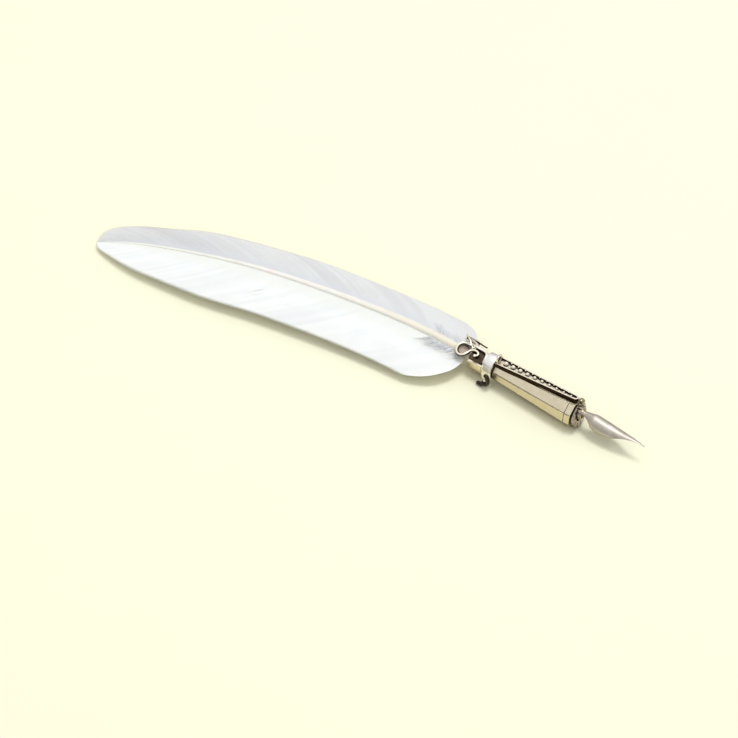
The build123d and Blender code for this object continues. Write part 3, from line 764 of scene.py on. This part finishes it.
def horn_leaf():
    """Pointed leaf on the far side: a swelling dark blade with a forked pale rim."""
    blade = Shape()
    cushion(blade, [(-49.2, 4.5), (-48.2, 2.9), (-46.6, 2.5), (-44.8, 2.5), (-43.2, 2.6), (-43.1, 3.9),
                    (-45.2, 4.6), (-47.4, 4.6)], AXIS_Z + 3.6, AXIS_Z + 3.9, 0.35)
    shape = fused(blade, MELT)
    shape.surfaces = [1] * len(shape.faces)
    rims = Shape()
    tip, fork, crossing = (-49.35, 4.7, 4.2), (-48.6, 2.7, 4.0), (-46.9, 2.0, 4.3)
    strand(rims, over_axis([tip, (-48.4, 3.6, 4.4), (-47.3, 2.9, 4.5), (-46.4, 2.3, 4.4),
                            (-45.6, 1.5, 4.1), (-45.0, 0.6, 3.8)]), 0.24, 0.40, stations=50)
    strand(rims, over_axis([fork, (-47.8, 2.1, 4.2), crossing]), 0.24, 0.34, stations=24)
    strand(rims, over_axis([tip, (-49.0, 3.6, 4.1), fork]), 0.2, 0.24, stations=20)
    melted = fused(rims, FINE_MELT)
    shape.add(melted.points, melted.faces)
    add_piece("cast_horn", shape, [RIM, NOSE], "holder", ["horn_leaf"])


def horn_ribbon():
    """Narrow upright ribbon from the horn leaf to the band: pale edge, painted shade on its flanks."""
    ribbon = Shape()
    strand(ribbon, over_axis([(-44.8, 3.9, 4.2), (-43.4, 3.75, 4.3), (-42.0, 3.6, 4.3), (-40.6, 3.5, 4.25),
                              (-39.7, 3.45, 4.2)]), 0.36, 0.3, stations=40, flat=1.7)
    add_piece("cast_ribbon", fused(ribbon, FINE_MELT), [RIM], "holder", ["horn_ribbon"])


def side_scroll(name, side, node):
    """Broad pale arm from under the band, with a dark volute round a pale ball in front of it; the volute's
    near-black is dark metal and painted shade of its curl and tail.
    """
    middle = (band_low[0] + band_high[0]) / 2
    arm = Shape()
    line = [(middle + 0.3, side * 3.8, AXIS_Z + 3.1), (middle + 0.4, side * 4.6, AXIS_Z + 1.9),
            (middle + 0.6, side * 5.0, AXIS_Z + 0.6), (middle + 0.5, side * 5.1, AXIS_Z - 0.7),
            (middle + 0.1, side * 5.1, AXIS_Z - 2.0)]
    width, thickness = ([0, 0.3, 0.7, 1], [1.5, 1.9, 2.05, 1.1]), ([0, 0.5, 1], [0.38, 0.38, 0.25])
    arm.sleeve(rings_along(line, width, thickness, sides=16, stations=40, up=(0, side, 0.35)))
    shape = fused(arm, MELT)
    volute = Shape()
    centre_x, centre_z, plane = middle + 1.0, AXIS_Z - 1.5, side * 5.7
    ring = [(centre_x + VOLUTE_HALF_X * math.cos(a), plane, centre_z + VOLUTE_HALF_Z * math.sin(a))
            for a in np.radians(np.linspace(120, -115, 11))]
    tail = [(centre_x - 1.3, plane, 1.05), (centre_x - 2.1, plane, 0.82), (centre_x - 2.7, plane, 0.95),
            (centre_x - 3.1, plane, 1.4)]
    strand(volute, ring + tail, VOLUTE_WIRE_R, VOLUTE_TAIL_R, stations=90, sides=14)
    melted = fused(volute, MELT)
    # Surface 1, the near-black: dark metal and painted shade of the volute's curl and tail.
    shape.add(melted.points, melted.faces, surface=1)
    pearl = Shape()
    ball(pearl, (centre_x - 0.05, plane, centre_z), VOLUTE_BALL_R)
    shape.add(pearl.points, pearl.faces)
    add_piece(name, shape, [PALE_CAST, DARK_PATINA_AND_SHADE], "holder", [node])


def bar_eye():
    """Upright eye over the bar's neck end: a pale ring round a dark disc, which is painted shade filling the
    eye's hole.
    """
    low, high = box_mm("bar_loop")
    middle = (low[0] + high[0]) / 2
    centre_up = high[2] - EYE_R - EYE_WIRE_R
    turn = np.linspace(0, 2 * np.pi, 13)

    def circle(x, radius, angles):
        return [(x, radius * math.sin(a), centre_up + radius * math.cos(a)) for a in angles]

    ring = Shape()
    strand(ring, circle(middle, EYE_R, turn), EYE_WIRE_R, stations=90)
    shape = fused(ring, FINE_MELT)
    # The disc paints the shade seen through the eye's hole.
    disc = Shape()
    disc.sleeve(np.array([circle(x, EYE_SHADE_DISC_R, turn[:-1])
                          for x in (middle - EYE_SHADE_DISC_HALF, middle + EYE_SHADE_DISC_HALF)]))
    shape.add(disc.points, disc.faces, surface=1)
    add_piece("bar_eye", shape, [PALE_CAST, DARK_PATINA_AND_SHADE], "holder", ["bar_loop"])


def bar_curl():
    """The bar's end: a strip that rolls over the collar's front edge into a curl."""
    low, high = box_mm("bar_scroll")
    centre = (low + high) / 2
    turn = np.radians(np.linspace(185, -260, 24))
    radius = np.linspace(ROLL_R, ROLL_END_R, 24)
    start = (centre[0] - 1.1, 0.0, centre[2] - 0.9)
    roll = [(centre[0] + r * math.cos(a), 0.0, centre[2] + r * math.sin(a)) for a, r in zip(turn, radius)]
    thickness, width = ([0, 1], [0.2, 0.16]), ([0, 0.5, 1], [0.95, 0.9, 0.7])
    strip = Shape()
    strip.sleeve(rings_along([start] + roll, thickness, width, sides=16, stations=110, up=(0, 1, 0)))
    add_piece("bar_curl", fused(strip, 0.05), [OLIVE], "holder", ["bar_scroll"])


def ornament():
    leaf_scroll()
    leaf_curl()
    saddle_lining()
    saddle_rim()
    horn_leaf()
    horn_ribbon()
    side_scroll("scroll_near", NEAR, "side_scroll_near")
    side_scroll("scroll_far", FAR, "side_scroll_far")
    bar_eye()
    bar_curl()


def finish_cad_nodes():
    """Materials and rounded edges for the CAD nodes that stay."""
    finishes = {
        "barrel": (GOLD, 0.06), "collar_ring": (GOLD, 0.06), "neck_tube": (GOLD, 0.08),
        "nose_cap": (NOSE, 0.12), "pearl_bar": (BAR, 0.12), "neck_band": (BAND, 0.3),
        "socket_sleeve": (BRASS, 0.05), "socket_plug": (BRASS, 0.05), "nib_claw": (BRASS, 0.03),
        "pearls": (PEARL, 0), "quill_glue": (RESIN, 0.05), "saddle": (GOLD, 0.15),
    }
    for node, (material, width) in finishes.items():
        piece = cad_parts[node]
        piece.data.materials.clear()
        piece.data.materials.append(material)
        if width:
            bevel(node, width)


# ---- stage -------------------------------------------------------------------------
def camera():
    """The photograph's view: a long lens from the near side, above the nib end."""
    right = Vector((0.79337, 0.60754, 0.03829))
    down = Vector((0.43991, -0.52872, -0.72590))
    ahead = right.cross(down)
    data = bpy.data.cameras.new("camera")
    data.sensor_width = 36.0
    data.lens = 101.31
    data.clip_start, data.clip_end = 0.01, 20.0
    made = bpy.data.objects.new("camera", data)
    bpy.context.scene.collection.objects.link(made)
    turn = Matrix((right, -down, -ahead)).transposed()
    made.matrix_world = Matrix.Translation((0.24138, -0.46477, 0.51041)) @ turn.to_4x4()
    bpy.context.scene.camera = made


def floor():
    """Large plain pale floor."""
    half = 6.0
    mesh = bpy.data.meshes.new("floor")
    corners = [(-half, -half, 0), (half, -half, 0), (half, half, 0), (-half, half, 0)]
    mesh.from_pydata(corners, [], [(0, 1, 2, 3)])
    n = Nodes("floor")
    colour = n.mix(n.noise(0.02, 2), (0.93, 0.92, 0.72), (0.92, 0.91, 0.71))
    mesh.materials.append(n.finish(Base_Color=colour, Roughness=0.85, Specular_IOR_Level=0.1))
    made = bpy.data.objects.new("floor", mesh)
    bpy.context.scene.collection.objects.link(made)


def area_light(name, place, aim, size, power):
    data = bpy.data.lights.new(name, "AREA")
    data.shape = "DISK"
    data.size = size
    data.energy = power
    made = bpy.data.objects.new(name, data)
    bpy.context.scene.collection.objects.link(made)
    made.location = place
    made.rotation_mode = "QUATERNION"
    made.rotation_quaternion = (Vector(aim) - Vector(place)).to_track_quat("-Z", "Y")


def studio():
    """White studio: a soft sky, brighter above, and one broad key light over the pen, a little behind."""
    world = bpy.data.worlds.new("studio")
    bpy.context.scene.world = world
    world.use_nodes = True
    tree = world.node_tree
    direction = tree.nodes.new("ShaderNodeTexCoord").outputs["Generated"]
    parts = tree.nodes.new("ShaderNodeSeparateXYZ")
    tree.links.new(direction, parts.inputs[0])
    ramp = tree.nodes.new("ShaderNodeMapRange")
    ramp.interpolation_type = "SMOOTHSTEP"
    tree.links.new(parts.outputs["Z"], ramp.inputs["Value"])
    ramp.inputs["From Min"].default_value = 0.0
    ramp.inputs["From Max"].default_value = 0.6
    ramp.inputs["To Min"].default_value = 0.15
    ramp.inputs["To Max"].default_value = 0.84
    tree.links.new(ramp.outputs["Result"], tree.nodes["Background"].inputs["Strength"])
    tree.nodes["Background"].inputs["Color"].default_value = (1.0, 0.995, 0.985, 1)
    area_light("key", (-0.05, 0.30, 1.28), (-0.08, 0, 0), 0.5, 6.8)
    bpy.context.scene.view_settings.view_transform = "Standard"


camera()
floor()
studio()
feather()
nib()
ornament()
finish_cad_nodes()
